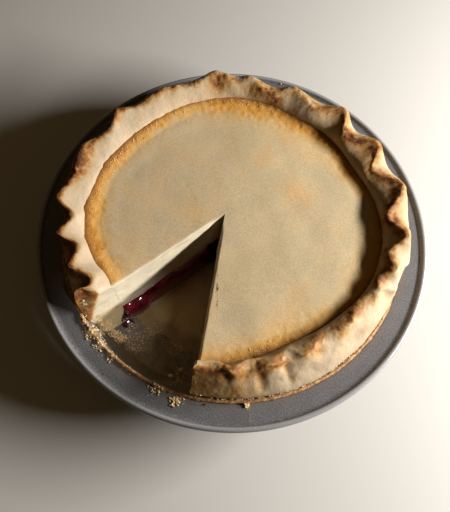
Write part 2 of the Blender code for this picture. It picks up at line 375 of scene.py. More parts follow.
def fillet(before, corner, after, radius, steps):
    """The arc of that radius that rounds a corner of an (r, z) outline."""
    back = (before - corner).normalized()
    ahead = (after - corner).normalized()
    half = back.angle(ahead) / 2
    tangent = radius / math.tan(half)
    centre = corner + (back + ahead).normalized() * (radius / math.sin(half))
    start = corner + back * tangent - centre
    sweep = start.angle_signed(corner + ahead * tangent - centre)
    points = []
    for step in range(steps + 1):
        turn = -sweep * step / steps
        points.append(centre + Vector((
            start.x * math.cos(turn) - start.y * math.sin(turn),
            start.x * math.sin(turn) + start.y * math.cos(turn),
        )))
    return points


def well_outline(inset, floor_z, steps):
    slope = Vector((MOUTH_R - FLOOR_R, WELL_DEPTH)).normalized()
    inwards = Vector((-slope.y, slope.x)) * inset
    low = Vector((FLOOR_R, SHEET)) + inwards
    corner = low + slope * ((floor_z - low.y) / slope.y)
    top = Vector((MOUTH_R, FLANGE_Z)) + inwards
    return fillet(Vector((0, floor_z)), corner, top, FLOOR_FILLET, steps), top


def cut_normal(angle, side):
    """The way out of a cut face into the gap. side is 1 left and -1 right."""
    way = unit(angle)
    return np.array((-way[1], way[0])) * side


LEFT_OUT = cut_normal(LEFT_CUT_ANGLE, 1)
RIGHT_OUT = cut_normal(RIGHT_CUT_ANGLE, -1)
TIP_SHIFT = np.linalg.solve(np.stack([LEFT_OUT, RIGHT_OUT]), [LEFT_SLUMP, RIGHT_SLUMP])


def filling_level(z):
    """0 at the filling's bottom and 1 at its top."""
    return (z - CRUST_FLOOR_TOP) / (CHERRY_TOP - CRUST_FLOOR_TOP)


def lean_share(z):
    return (CREAM_TOP - z) / (CREAM_TOP - CUT_FLOOR)


def tip_at(z):
    """The gap's tip at heights, as the two cut faces lean in towards the bottom."""
    return GAP_TIP + np.multiply.outer(lean_share(z), TIP_SHIFT)


def cut_depths(points):
    """How far points lie behind the left and the right cut face, or from its end at the tip."""
    flat = points[:, :2] - tip_at(points[:, 2])
    depths = []
    for angle, out in ((LEFT_CUT_ANGLE, LEFT_OUT), (RIGHT_CUT_ANGLE, RIGHT_OUT)):
        past_tip = np.minimum(flat @ unit(angle), 0)
        depths.append(np.hypot(flat @ out, past_tip))
    return depths


RAY_ROUNDS = 6


def on_rays(rays, section_at):
    """Points where rays from the gap's tip meet (r, z) = section_at(angle about the axis)."""
    angle = rays
    way = unit(rays)
    for _ in range(RAY_ROUNDS):
        radius, z = section_at(angle)
        start = tip_at(z)
        along = (start * way).sum(axis=1)
        run = -along + np.sqrt(along ** 2 - (start ** 2).sum(axis=1) + radius ** 2)
        spot = start + way * run[:, None]
        angle = angle_of(spot)
    return np.column_stack([spot, z])


def ray_angles(count, edge_steps):
    """Angles round the pie from its right cut to its left one, closer together at the cuts."""
    edge = np.cumsum([0.0] + list(edge_steps))
    low = RIGHT_CUT_ANGLE - 360
    inner = np.linspace(low + edge[-1], LEFT_CUT_ANGLE - edge[-1], count)
    return np.concatenate([low + edge[:-1], inner, (LEFT_CUT_ANGLE - edge[:-1])[::-1]])


def from_tip(edge, shares, z):
    """Rows of points at one height, from the gap's tip out to an edge."""
    start = tip_at(np.full(len(edge), z))
    rows = []
    for share in shares:
        flat = start + (edge[:, :2] - start) * share
        rows.append(np.column_stack([flat, np.full(len(flat), z)]))
    return rows


def between(first, last, steps):
    """A grid of points from one line of points to another."""
    shares = np.linspace(0, 1, steps + 1)[:, None, None]
    return first[None] * (1 - shares) + last[None] * shares


def layer(columns, shares, across, radius_at, high_z, low_z):
    """A flat layer cut open at the gap: patches of its top, side, bottom and cut faces."""
    rays = ray_angles(columns, CUT_EDGE_STEPS)

    def edge_at(z):
        return on_rays(rays, lambda angle: (radius_at(angle), np.full(len(angle), z)))

    side = np.stack([edge_at(z) for z in np.linspace(high_z, low_z, across + 1)])
    top = np.stack(from_tip(side[0], shares, high_z))
    low = np.stack(from_tip(side[-1], shares, low_z))[::-1]
    patches = [top, side, low]
    for column in (0, -1):
        cap = between(top[:, column], low[::-1][:, column], across)
        cap[:, -1] = side[:, column]
        patches.append(cap)
    return patches


def push(moved, amount, way):
    """Moves points level along a way by their own amounts."""
    moved[:, :2] += amount[:, None] * way


def at_face(points, depth):
    """1 on a cut face, except at the gap's tip, falling to 0 behind it."""
    return bell(depth, 1.0 * MM) * (radius_of(points) > 12 * MM)


# Crust

CRUST_COLUMNS = 820
CUT_EDGE_STEPS = (0.12, 0.16, 0.2, 0.26, 0.32, 0.38)
CUT_ACROSS = 14
SHARP_EDGE = math.radians(50)


def crust_controls(angle):
    """The section's named points at angles: outer side up to the ridge, then the inner side."""
    arc, _ = well_outline(CLEARANCE, SHEET + CLEARANCE, 3)
    ridge, point_share = pinch_wave(angle)
    fold_width = FOLD_WIDTH + WIDER_FOLD * bump(angle, *WIDE_SIDE)
    width = fold_width + (POINT_WIDTH - fold_width) * point_share
    top = RIM_Z + PINCH_LIFT * point_share + RIM_UNEVEN * rim_noise(angle, 1.0)
    level = RIM_HIGHEST - LEAN_SLOPE * (LEAN_R - ridge)
    top += (level - top) * bump(angle, *LEAN_SIDE)
    top = np.minimum(top, RIM_HIGHEST)
    drop = CREST_SLOPE * width
    wall_r = FLOOR_R + (MOUTH_R - FLOOR_R) * (LEAVES_WALL_Z - SHEET) / WELL_DEPTH
    foot = FOOT_R + FOOT_UNEVEN * rim_noise(angle, 2.0)
    belly = foot + BULGE * bump(angle, *BULGE_SIDE)
    inner = inner_radius(angle)
    shelf = SHELF + HIGHER_SHELF * bump(angle, *SHELF_SIDE)
    controls = [tuple(point) for point in arc] + [
        (wall_r - CLEARANCE, LEAVES_WALL_Z),
        (foot, FOOT_Z),
        (belly, FOOT_Z + 5 * MM),
        (belly + (ridge + width - belly) * 0.5, FOOT_Z + 12 * MM),
        (ridge + width, top - drop - 1.6 * MM),
        (ridge + 0.6 * width, top - 0.45 * drop),
        (ridge + 0.4 * MM, top),
        (ridge - CREST_INSIDE[0], top - CREST_INSIDE[1]),
        (inner + (ridge - inner) * WALL_LEAN, CREAM_TOP + shelf),
        (inner, CREAM_TOP - 2.5 * MM),
        (inner, 36 * MM),
        (inner, CHERRY_TOP),
        (FLOOR_INNER_R, CRUST_FLOOR_TOP),
    ]
    full = np.ones(len(angle))
    radii = np.stack([r * full for r, _ in controls])
    heights = np.stack([z * full for _, z in controls])
    return radii, heights


CRUST_STEPS = (1, 1, 1, 3, 5, 6, 8, 10, 5, 7, 3, 9, 10, 14, 5, 5)
CRUST_FLOOR_STEPS = (5, 6)


# What a smooth curve takes of four control points, by powers of the way from the second to the third.
SPLINE = np.array(((0, -0.5, 1, -0.5), (1, 0, -2.5, 1.5), (0, 0.5, 2, -1.5), (0, 0, -0.5, 0.5)))


def row_weights(steps):
    """For each row, how much of each control point it takes."""
    last = len(steps)
    rows = []
    for index, count in enumerate(steps):
        for step in range(count):
            weights = np.zeros(last + 1)
            nearest = np.clip(np.arange(index - 1, index + 3), 0, last)
            np.add.at(weights, nearest, SPLINE @ (step / count) ** np.arange(4))
            rows.append(weights)
    return rows + [np.eye(last + 1)[last]]


def crust_grid():
    rays = ray_angles(CRUST_COLUMNS, CUT_EDGE_STEPS)
    wall = []
    for weights in row_weights(CRUST_STEPS):
        def section_at(angle, weights=weights):
            radii, heights = crust_controls(angle)
            return weights @ radii, weights @ heights

        wall.append(on_rays(rays, section_at))
    below, above = CRUST_FLOOR_STEPS
    low = from_tip(wall[0], np.linspace(0, 1, below + 1)[:-1], SHEET + CLEARANCE)
    high = from_tip(wall[-1], np.linspace(1, 0, above + 1)[1:], CRUST_FLOOR_TOP)
    return np.stack(low + wall + high)


def crust_caps(grid):
    """The two cut faces, between the section's outer and inner halves."""
    half = len(grid) // 2
    caps = []
    for column in (0, -1):
        outer = grid[:half + 1, column]
        inner = grid[half:, column][::-1]
        caps.append(between(outer, inner, CUT_ACROSS))
    return caps


# Dents in the crust that fingers left: angle, then height, radius and depth in mm.
FINGER_DENTS = np.array((
    (-61.2, 60.2, 3.2, 3.0),
    (-49.8, 56.5, 3.2, 1.5),
    (-49.5, 51.0, 3.0, 1.0),
    (-41.0, 57.5, 3.0, 1.6),
    (-40.5, 51.5, 3.0, 0.9),
    (-28.0, 58.5, 3.4, 0.9),
    (-9.0, 58.5, 4.0, 0.8),
)) * (1, MM, MM, MM)


def finger_dents(points):
    """(depth in mm, share of it at the points) of each dent."""
    angle = angle_of(points)
    radius = radius_of(points)
    for at, height, size, depth in FINGER_DENTS:
        along = np.radians((angle - at + 180) % 360 - 180) * radius
        yield depth / MM, bell(np.hypot(along, points[:, 2] - height), size)


# Browned patches of the rim: angle, its spread, radius in mm, its spread in mm, strength.
BROWN_PATCHES = (
    (192, 7, 111, 6.5, 0.8),
    (183, 5, 112, 5.0, 0.75),
    (174, 5, 112, 4.0, 0.6),
    (166, 5, 114, 4.5, 0.6),
    (150, 7, 112, 4.0, 0.4),
    (140, 6, 110, 4.0, 0.25),
    (126, 3.5, 107, 8.0, 0.7),
    (112, 4, 103, 5.0, 0.6),
    (103, 4, 101, 5.5, 0.6),
    (88, 4, 107, 3.5, 0.4),
    (82, 3, 111, 3.5, 0.35),
    (69, 6, 104, 4.5, 0.35),
    (61, 5, 109, 4.5, 0.35),
    (53, 5, 103, 3.5, 0.35),
    (36, 7, 106, 4.0, 0.38),
    (16, 4, 105, 2.5, 0.2),
    (0, 14, 99, 2.5, 0.22),
    (-22, 12, 98, 2.5, 0.2),
    (-39, 8, 100, 3.0, 0.12),
    (-61, 3.6, 99, 4.0, 0.5),
    (-53, 6, 98, 4.5, 0.2),
    (-44, 6, 97.5, 4.5, 0.16),
    (227, 9, 108, 5.0, 0.4),
    (205.2, 3.5, 117, 3.5, 0.7),
    (217.7, 3.5, 114, 3.5, 0.7),
    (230.2, 3.5, 110, 3.5, 0.7),
    (243.8, 5, 112, 5.5, 1.3),
    (237.5, 3.5, 106, 5.0, 0.9),
    (9, 3.5, 103, 3.0, 0.4),
    (27, 5, 108, 4.0, 0.28),
    (44, 5, 110, 4.5, 0.3),
)
# The front end of the rim, which is painted tan down its outside: partly its own tan, partly painted
# shade on that shaded wall.
FRONT_TAN_AND_SHADE = 0.36
FRONT_END = (-66, 15)
# The left side, where the rim is browned down its outside.
BROWN_SIDE = (220, 46)
# The right side, where it is browned on its inner slope and has a tan outside. Its inner slope, which
# lies in shade, is also painted browner: painted shade.
TAN_AND_SHADE_SIDE = (45, 75)


def brown_share(points):
    """How far the crust is browned, from 0 to 1: on its ridge and points, in patches. It also carries
    painted shade on the right's inner slope and down the front end's outside.
    """
    angle = angle_of(points)
    radius = radius_of(points)
    ridge, point_share = pinch_wave(angle)
    from_ridge = (radius - ridge) / MM
    below = np.maximum((RIM_Z + PINCH_LIFT * point_share - points[:, 2]) / MM, 0)
    fine = fractal(points, 2.6, 31)
    cloudy = fractal(points, 9, 21)
    side = bump(angle, *BROWN_SIDE)
    tan_and_shade = bump(angle, *TAN_AND_SHADE_SIDE)
    on_crest = bell(from_ridge - 0.4 - 0.9 * side + 1.6 * tan_and_shade, 2.6 + 2.2 * tan_and_shade) * bell(below, 6)
    outside = smooth(0.3, 2.8, from_ridge + 0.8 * fine) * smooth(24, 4, below)
    share = (0.3 + 0.26 * tan_and_shade + 0.3 * side) * on_crest * (1 + 0.6 * cloudy + 0.5 * fine)
    share += 0.62 * side * outside * (1 + 0.4 * cloudy + 0.2 * fine)
    share += 0.12 * smooth(0.5, 4, from_ridge) * smooth(8, 2, below) * (1 + cloudy)
    golden = smooth(-0.5, 0.9, cloudy) * (1 - side)
    share += golden * (0.13 * smooth(-1, 3, from_ridge) + 0.08 * smooth(1, -3, from_ridge))
    # Painted shade: on the right the inner slope, which lies in shade, is painted browner.
    share += 0.22 * tan_and_shade * smooth(0, -5, from_ridge) * (1 + 0.3 * cloudy)
    # Partly tan, partly painted shade: the outside of the rim's front end is painted browner.
    share += FRONT_TAN_AND_SHADE * bump(angle, *FRONT_END) * smooth(0, 3, from_ridge) * (1 + 0.15 * cloudy)
    for depth, dented in finger_dents(points):
        share += 0.2 * depth * dented
    for at, spread, middle, width, strength in BROWN_PATCHES:
        across = (radius - middle * MM) / MM
        patch = bump(angle, at, spread) * bell(across, width) * smooth(12, 3, below)
        share += strength * patch * (0.9 + 0.36 * fine + 0.3 * cloudy)
    share += 0.10 * fine * (0.3 + on_crest)
    return np.clip(share, 0, 1)


# The left end of the rim: its skin is browned outside this line of (height, distance from the tip).
SKIN_HEIGHTS = (20 * MM, 30 * MM, 47 * MM, 63 * MM)
SKIN_RUNS = (112 * MM, 108 * MM, 103 * MM, 99 * MM)
SKIN_BACK = 5 * MM
TIP_CRUMB = (107.4 * MM, 50 * MM, 3.4 * MM)
CREASE_RUNS = (84 * MM, 91 * MM, 98 * MM, 103 * MM, 109 * MM)
CREASE_HEIGHTS = (26.8 * MM, 29.6 * MM, 31.5 * MM, 32.0 * MM, 27 * MM)
CORNER_ROUND = 3.2 * MM
CORNER_REACH = 30 * MM
AT_A_TIME = 20000


def smear(points):
    """How far the knife left a cut face standing out. The layers share it, so they stay flush."""
    wide = 0.35 * fractal(points * (1, 1, 2.2), 8, 98, 2)
    return (wide + 0.06 * fractal(points, 2, 99, 2)) * MM


def left_face(points):
    """Distance from the gap's tip along the left cut face."""
    return (points[:, :2] - tip_at(points[:, 2])) @ unit(LEFT_CUT_ANGLE)


def round_corner(points, moved, line, way):
    """Draws points near a cut edge back, so that the edge is rounded."""
    shift = np.zeros(len(points))
    close = np.flatnonzero(np.abs(points[:, 2] - line[:, 2].mean()) < CORNER_REACH)
    for start in range(0, len(close), AT_A_TIME):
        part = close[start:start + AT_A_TIME]
        apart = np.linalg.norm(points[part][:, None] - line[None], axis=2).min(axis=1)
        shift[part] = bell(apart, 0.6 * CORNER_ROUND)
    shift *= smooth(CREAM_TOP + 1 * MM, CREAM_TOP + 4 * MM, points[:, 2])
    moved -= 0.42 * CORNER_ROUND * shift[:, None] * way


def crust_relief(points, normals, brown_and_shade):
    """How far the skin stands out in mm: uneven baking, the torn lower lip and finger dents."""
    z = points[:, 2]
    radius = radius_of(points)
    ridge, _ = pinch_wave(angle_of(points))
    outer_side = smooth(ridge - 3 * MM, ridge + 1 * MM, radius)
    crest = bell(radius - ridge, 3 * MM) * smooth(56 * MM, 60 * MM, z)
    outside = smooth(-0.2, 0.4, outwards(points, normals))
    lip = bell(z - FOOT_Z, 1.2 * MM) * outside
    relief = 0.38 * fractal(points, 11, 41, 2)
    relief += (0.04 + 0.06 * outer_side + 0.14 * crest) * fractal(points, 2.8, 51)
    relief += 0.26 * brown_and_shade * fractal(points, 1.9, 61, 2)
    relief += lip * LIP_TEETH / MM * fractal(points * (1, 1, 0.2), 1.5, 65, 2)
    for depth, dented in finger_dents(points):
        relief -= depth * dented * outside
    return relief


def paint_crust(mesh, points, brown_and_shade, skin, left, on_left, on_right):
    run = left_face(points)
    z = points[:, 2]
    tip_run, tip_z, tip_size = TIP_CRUMB
    tip_away = np.hypot(run - tip_run, z - tip_z) * (1 + 0.5 * fractal(points, 5, 75))
    skin_brown = smooth(-3.0 * MM, 0.5 * MM, skin) * on_left * smooth(24 * MM, 34 * MM, z)
    skin_brown *= 0.72 + 0.4 * smooth(54 * MM, 60 * MM, z) * smooth(101 * MM, 105 * MM, run)
    skin_brown *= 1 + 0.25 * fractal(points, 2, 73, 2)
    brown_and_shade = np.maximum(brown_and_shade * (1 - on_left), skin_brown)
    brown_and_shade *= 1 - 0.6 * bell(tip_away, tip_size)
    crease = z - np.interp(run, CREASE_RUNS, CREASE_HEIGHTS)
    # The browning share, with painted shade in it, goes to the material.
    paint(mesh, "brown_and_shade", np.clip(brown_and_shade, 0, 1))
    paint(mesh, "cut", np.maximum(on_left, on_right))
    paint(mesh, "under", on_left * smooth(0.5 * MM, -0.5 * MM, crease))
    # Painted shade: a thin dark line along the crease on the left cut face.
    paint(mesh, "crease", on_left * bell(crease, 0.45 * MM))


def crust():
    grid = crust_grid()
    mesh = solid("crust_pinched", [grid] + crust_caps(grid))
    points = read(mesh, "co")
    normals = read(mesh, "normal")
    z = points[:, 2]
    brown_and_shade = brown_share(points)
    shows = smooth(FLANGE_Z - 2 * MM, FLANGE_Z + 2 * MM, z)
    left, right = cut_depths(points)
    on_left = bell(left, 0.9 * MM)
    on_right = bell(right, 0.9 * MM)
    relief = crust_relief(points, normals, brown_and_shade) * shows * (1 - on_left) * MM
    moved = points + normals * relief[:, None]
    push(moved, at_face(points, left) * smear(points), LEFT_OUT)
    push(moved, at_face(points, right) * smear(points), RIGHT_OUT)
    rim_end = smooth(CREAM_TOP, CREAM_TOP + 3 * MM, z) * on_right
    swell = bell(right, 5 * MM) * smooth(94 * MM, 100 * MM, radius_of(points))
    torn = 1.5 * swell * shows + 0.9 * fractal(points, 3.4, 71) * (rim_end + 0.4 * on_right)
    push(moved, torn * shows * MM, RIGHT_OUT)
    skin = left_face(points) - np.interp(z, SKIN_HEIGHTS, SKIN_RUNS)
    skin += 0.8 * MM * fractal(points, 4, 74, 2)
    skin_near = bell(left, 4 * MM) * smooth(CREAM_SIDE_LOW, CREAM_SIDE_LOW + 8 * MM, z)
    push(moved, -smooth(-0.5 * MM, 9 * MM, skin) * skin_near * SKIN_BACK, LEFT_OUT)
    inward = np.append(LEFT_OUT - unit(LEFT_CUT_ANGLE), 0)
    round_corner(points, moved, grid[len(grid) // 2:, -1], inward)
    moved[:, 2] = np.clip(moved[:, 2], SHEET + 0.2 * MM, CAD_HIGH.z)
    set_points(mesh, moved)
    paint_crust(mesh, points, brown_and_shade, skin, left, on_left, on_right)
    return piece("crust_pinched", mesh, crust_finish(), "crust", sharp=True)


def remnant():
    """The thin bottom crust that stayed in the gap, with a ragged outer edge."""
    z_low = SHEET + 0.25 * MM
    start = tip_at(np.array(CUT_FLOOR))
    edge = []
    for share in np.linspace(0, 1, 61):
        rag = REMNANT_RAG * noise.fractal(Vector((share * 3.1, 4.2, 0)), 1.1, 2.0, 3)
        rag += 1.6 * MM * noise.noise(Vector((share * 23, 1.7, 0)))
        way = unit(LEFT_CUT_ANGLE) * (1 - share) + unit(RIGHT_CUT_ANGLE) * share
        edge.append(start + way * (REMNANT_R + rag))
    runs = np.linspace(0, 1, 70)
    flat = start + (np.array(edge) - start) * runs[:, None, None]
    drop = 2.7 * MM * smooth(0.66, 1.0, runs) ** 1.3
    height = np.broadcast_to((CUT_FLOOR - drop)[:, None, None], (*flat.shape[:2], 1))
    top = np.concatenate([flat, height], axis=2)
    points = top.reshape(-1, 3)
    rough = 0.35 * fractal(points, 7, 81) + 0.16 * fractal(points, 1.6, 82, 2)
    points[:, 2] = np.maximum(points[:, 2] + rough * MM, z_low + 0.05 * MM)
    low = top.copy()
    low[:, :, 2] = z_low
    sides = [
        between(top[-1], low[-1], 3),
        between(top[:, 0], low[:, 0], 3),
        between(top[:, -1], low[:, -1], 3),
    ]
    mesh = solid("crust_left_in_gap", [top, low] + sides)
    points = read(mesh, "co")
    edge_shade = smooth(CUT_FLOOR - 0.3 * MM, CUT_FLOOR - 2.2 * MM, points[:, 2])
    paint(mesh, "brown_and_shade", np.clip(0.34 + 0.14 * fractal(points, 9, 83), 0, 1))
    paint(mesh, "cut", np.zeros(len(points)))
    paint(mesh, "under", np.ones(len(points)))
    # Painted shadow: the outer band, where this crust drops to the tin, is painted dark.
    paint(mesh, "crease", 0.85 * edge_shade)
    return piece("crust_left_in_gap", mesh, crust_finish(), "crust")


# The pale top layer

CREAM_COLUMNS = 480
CREAM_ROWS = 84
CREAM_ACROSS = 26
EDGE_ROUND = 1.7 * MM
TOASTED_WIDTH = 8 * MM
CLIMB_SIDE = (190, 80)
TUCKED_IN = 0.4 * MM
STANDS_PROUD = 0.14 * MM


def cream_rise(inside, angle):
    """How far the layer's top climbs up the crust above its middle, most on the left."""
    share = np.clip(1 - inside / CREAM_SHOULDER, 0, 1)
    return CREAM_RISE * share ** 1.4 * (0.3 + 0.7 * bump(angle, *CLIMB_SIDE))


def wall_lean(angle, rise):
    """How far the crust's inner side leans out at that height over the middle of the top layer."""
    ridge, _ = pinch_wave(angle)
    share = np.clip((rise + 2.5 * MM) / (5.5 * MM), 0, 1)
    return WALL_LEAN * (ridge - inner_radius(angle)) * share ** 1.5


# The filling stands higher along the left cut: distances from the tip, and how much.
HIGHER_RUNS = (0, 10 * MM, 20 * MM, 32 * MM, 42 * MM, 54 * MM, 70 * MM, 84 * MM, 92 * MM)
HIGHER_BY = (8 * MM, 9.5 * MM, 8 * MM, 5 * MM, 6.5 * MM, 3 * MM, 2 * MM, 4 * MM, 0)
HIGHER_DEPTH = 12 * MM


def raise_boundary(points, moved, left):
    """Lifts the boundary between the top layer and the filling, near the left cut face."""
    above = (CREAM_TOP - points[:, 2]) / (CREAM_TOP - CHERRY_TOP)
    share = np.clip(np.minimum(above, filling_level(points[:, 2])), 0, 1)
    lift = np.interp(left_face(points), HIGHER_RUNS, HIGHER_BY) * share * bell(left, HIGHER_DEPTH)
    moved[:, 2] += lift
    push(moved, -lift * LEFT_SLUMP / (CREAM_TOP - CUT_FLOOR), LEFT_OUT)


# Painted light: a paler band inside the toasted ring, on the left.
LIT_BAND_SIDE = (195, 60)
LIT_BAND_INSIDE = 16 * MM
LIT_BAND_WIDTH = 5 * MM

# Where the toasted ring is wide or dark: (angle, width, more width in mm, strength).
TOAST_PATCHES = (
    (228, 16, 4.0, 0.45),
    (195, 30, 2.5, 0.3),
    (160, 26, 2.0, 0.3),
    (126, 9, 6.0, 0.2),
    (112, 12, 5.0, 0.45),
    (80, 20, 3.0, 0.75),
    (20, 40, 2.0, 0.25),
    (-45, 24, 4.0, 0.3),
)


def toasted_share(points, inside, patchy):
    angle = angle_of(points)
    width = TOASTED_WIDTH / MM * np.ones(len(points))
    strength = 0.55 * np.ones(len(points))
    for at, spread, wider, more in TOAST_PATCHES:
        width += wider * bump(angle, at, spread)
        strength += more * bump(angle, at, spread)
    fine = fractal(points, 4, 92)
    reach = inside / MM / (width * (1 + 0.35 * patchy + 0.08 * fine))
    share = np.exp(-np.maximum(reach, 0) ** 1.7 * 1.5) * strength
    return np.clip(share * (1 + 0.22 * fine), 0, 1)


def cream_top(points, inside, toasted, on_top):
    """How far the top layer's surface stands over its level: wavy, crinkled, higher at the crust."""
    wavy = 0.5 * fractal(points, 30, 95, 2) + 0.03 * fractal(points, 5, 96, 2)
    crinkled = 0.3 * toasted * fractal(points, 2.6, 97)
    return on_top * ((wavy + crinkled) * MM + cream_rise(inside, angle_of(points)))


def cream():
    shares = np.linspace(0, 1, CREAM_ROWS) ** 0.8
    patches = layer(CREAM_COLUMNS, shares, CREAM_ACROSS, lambda angle: inner_radius(angle) + SUNK_IN,
                    CREAM_TOP, CHERRY_TOP - SUNK_IN)
    mesh = solid("cream_baked", patches)
    points = read(mesh, "co")
    z = points[:, 2]
    radius = radius_of(points)
    inside = inner_radius(angle_of(points)) - radius
    run = left_face(points)
    left, right = cut_depths(points)
    on_top = smooth(CREAM_TOP - 0.4 * MM, CREAM_TOP - 0.1 * MM, z)
    patchy = fractal(points, 22, 91)
    toasted = toasted_share(points, inside, patchy)
    moved = points.copy()
    raise_boundary(points, moved, left)
    rise = cream_top(points, inside, toasted, on_top)
    moved[:, 2] += rise
    at_edge = np.clip(1 - inside / (4 * MM), 0, 1) ** 2
    lean = at_edge * (wall_lean(angle_of(points), z - CREAM_TOP + rise) + TUCKED_IN * on_top)
    moved[:, :2] += lean[:, None] * points[:, :2] / np.maximum(radius, MM)[:, None]
    rounding = np.clip(1 - np.minimum(left, right) / EDGE_ROUND, 0, 1) * smooth(0, 14 * MM, run)
    moved[:, 2] -= on_top * EDGE_ROUND * (1 - np.sqrt(1 - rounding ** 2)) * 0.8
    for depth, out in ((left, LEFT_OUT), (right, RIGHT_OUT)):
        push(moved, at_face(points, depth) * (smear(points) + STANDS_PROUD), out)
    set_points(mesh, moved)
    # Painted light: a paler band inside the toasted ring.
    painted_lit_band = bell(inside - LIT_BAND_INSIDE * (1 + 0.2 * patchy), LIT_BAND_WIDTH)
    painted_lit_band *= bump(angle_of(points), *LIT_BAND_SIDE)
    ragged = (1.7 + 0.7 * fractal(points, 6, 94)) * MM
    left_edge = bell(left, ragged) * smooth(0, 12 * MM, run)
    paint(mesh, "toasted", toasted * on_top)
    paint(mesh, "painted_lit_band", painted_lit_band * on_top)
    # The dark line where the top meets the crust: partly its browned edge, partly painted shade where
    # they touch.
    paint(mesh, "brown_edge_and_contact_shade", on_top * np.exp(-np.maximum(inside - 0.3 * MM, 0) / (1.1 * MM)))
    paint(mesh, "cut", np.maximum(left_edge, bell(right, 0.4 * MM)))
    paint(mesh, "low", smooth(CHERRY_TOP + 6 * MM, CHERRY_TOP, z))
    return piece("cream_baked", mesh, cream_finish(), "cream_layer", sharp=True)


# The cherry filling

FILLING_COLUMNS = 180
FILLING_ROWS = 130
FILLING_ACROSS = 26
RIGHT_JELLY = 0.3


def bulges(points, rows, angle, slump, side):
    """How far the cherries and the jelly between them stand out of a cut face."""
    z = points[:, 2]
    start = GAP_TIP + np.multiply.outer(lean_share(z) * slump, cut_normal(angle, side))
    run = (points[:, :2] - start) @ unit(angle)
    out = np.zeros(len(points))
    for at, height, half_length, stands_out in rows:
        far = ((run - at) / (half_length * 1.15)) ** 4
        far += ((z - height) / (CHERRY_HALF_HEIGHT * 1.1)) ** 2
        out = np.maximum(out, stands_out * np.sqrt(np.clip(1 - far, 0, 1)))
    level = filling_level(z)
    jelly = 0.9 * MM * np.sqrt(np.clip(1 - (2 * level - 1) ** 2, 0, 1))
    jelly += 1.6 * MM * bell(level - 0.16, 0.14) * smooth(8 * MM, 20 * MM, run)
    jelly *= 1 if side == 1 else RIGHT_JELLY
    return np.maximum(out, jelly) + 0.3 * jelly


def filling():
    patches = layer(FILLING_COLUMNS, np.linspace(0, 1, FILLING_ROWS), FILLING_ACROSS,
                    lambda angle: np.minimum(inner_radius(angle), FLOOR_INNER_R) + SUNK_IN,
                    CHERRY_TOP, CRUST_FLOOR_TOP - SUNK_IN)
    mesh = solid("cherry_jelly", patches)
    points = read(mesh, "co")
    left, right = cut_depths(points)
    moved = points.copy()
    level = filling_level(points[:, 2])
    ends = np.sqrt(np.clip(1 - (2 * level - 1) ** 8, 0, 1))
    lumpy = 0.2 * fractal(points, 6, 101, 2) * MM
    for depth, out, *face in (
        (left, LEFT_OUT, LEFT_CHERRIES, LEFT_CUT_ANGLE, LEFT_SLUMP, 1),
        (right, RIGHT_OUT, RIGHT_CHERRIES, RIGHT_CUT_ANGLE, RIGHT_SLUMP, -1),
    ):
        push(moved, bell(depth, 0.6 * MM) * ends * (bulges(points, *face) + lumpy), out)
    raise_boundary(points, moved, left)
    set_points(mesh, moved)
    return piece("cherry_jelly", mesh, jelly_finish(), "cherry_filling")


# The tin and the dough that baked onto it

def turned(name, section_at, segments, ring):
    """Turns an (r, z) section round Z. A ring closes on itself, another ends over the axis."""
    angles = np.linspace(0, 360, segments + 1)
    columns = []
    for angle in angles:
        way = unit(angle % 360)
        section = np.array(section_at(angle % 360))
        columns.append(np.column_stack([section[:, :1] * way, section[:, 1]]))
    grid = np.stack(columns, axis=1)
    if ring:
        grid = np.concatenate([grid, grid[:1]])
    else:
        grid = np.concatenate([grid[:1] * (0, 0, 1), grid, grid[-1:] * (0, 0, 1)])
    return solid(name, [grid])


WIPED_WIDTH = 16 * MM


def steps_between(first, last, count):
    return [first.lerp(last, step / count) for step in range(1, count)]


def tin_section():
    """The (r, z) outline of the tin's sheet: its underside, its bead, then its inside."""
    arc, top = well_outline(0, SHEET, 8)
    flange_end = Vector((FLANGE_R - 2.2 * BEAD_R, FLANGE_Z))
    mouth = fillet(arc[-1], top, flange_end, MOUTH_FILLET, 8)
    floor_steps = [Vector((arc[0].x * step / 12, SHEET)) for step in range(1, 12)]
    inner = floor_steps + arc + steps_between(arc[-1], mouth[0], 8)
    inner += mouth + steps_between(mouth[-1], flange_end, 8)
    outer = [Vector((point.x, 0)) for point in inner[:len(floor_steps) + 1]]
    for index in range(len(outer), len(inner)):
        after = inner[min(index + 1, len(inner) - 1)]
        along = (after - inner[index - 1]).normalized()
        outer.append(inner[index] + Vector((along.y, -along.x)) * SHEET)
    bead = []
    for turn in range(-110, 161, 15):
        swing = math.radians(turn)
        way = Vector((math.cos(swing), math.sin(swing)))
        bead.append(Vector((FLANGE_R - BEAD_R, BEAD_Z)) + way * BEAD_R)
    return [tuple(point) for point in outer + bead + inner[::-1]]


def tin():
    section = tin_section()
    mesh = turned("tin_speckled", lambda angle: section, TIN_SEGMENTS, False)
    points = read(mesh, "co")
    normals = read(mesh, "normal")
    radius = radius_of(points)
    greasy = smooth(MOUTH_R - 3 * MM, MOUTH_R - 8 * MM, radius)
    greasy *= smooth(0.3, 0, outwards(points, normals)) * (normals[:, 2] > 0)
    left, _ = cut_depths(points)
    greasy *= 1 - 0.8 * bell(left, WIPED_WIDTH) * smooth(78 * MM, 90 * MM, radius)
    stain = bell(radius - MOUTH_R, 4.5 * MM) * (0.6 + 0.5 * fractal(points, 9, 111))
    paint(mesh, "greasy", greasy)
    # Painted highlight: the bead's coat is painted lighter; it is also made glossier.
    paint(mesh, "bead", smooth(FLANGE_R - 3.6 * MM, FLANGE_R - 2.6 * MM, radius))
    paint(mesh, "stain", stain)
    return piece("tin_speckled", mesh, tin_finish(), "tin", sharp=True)


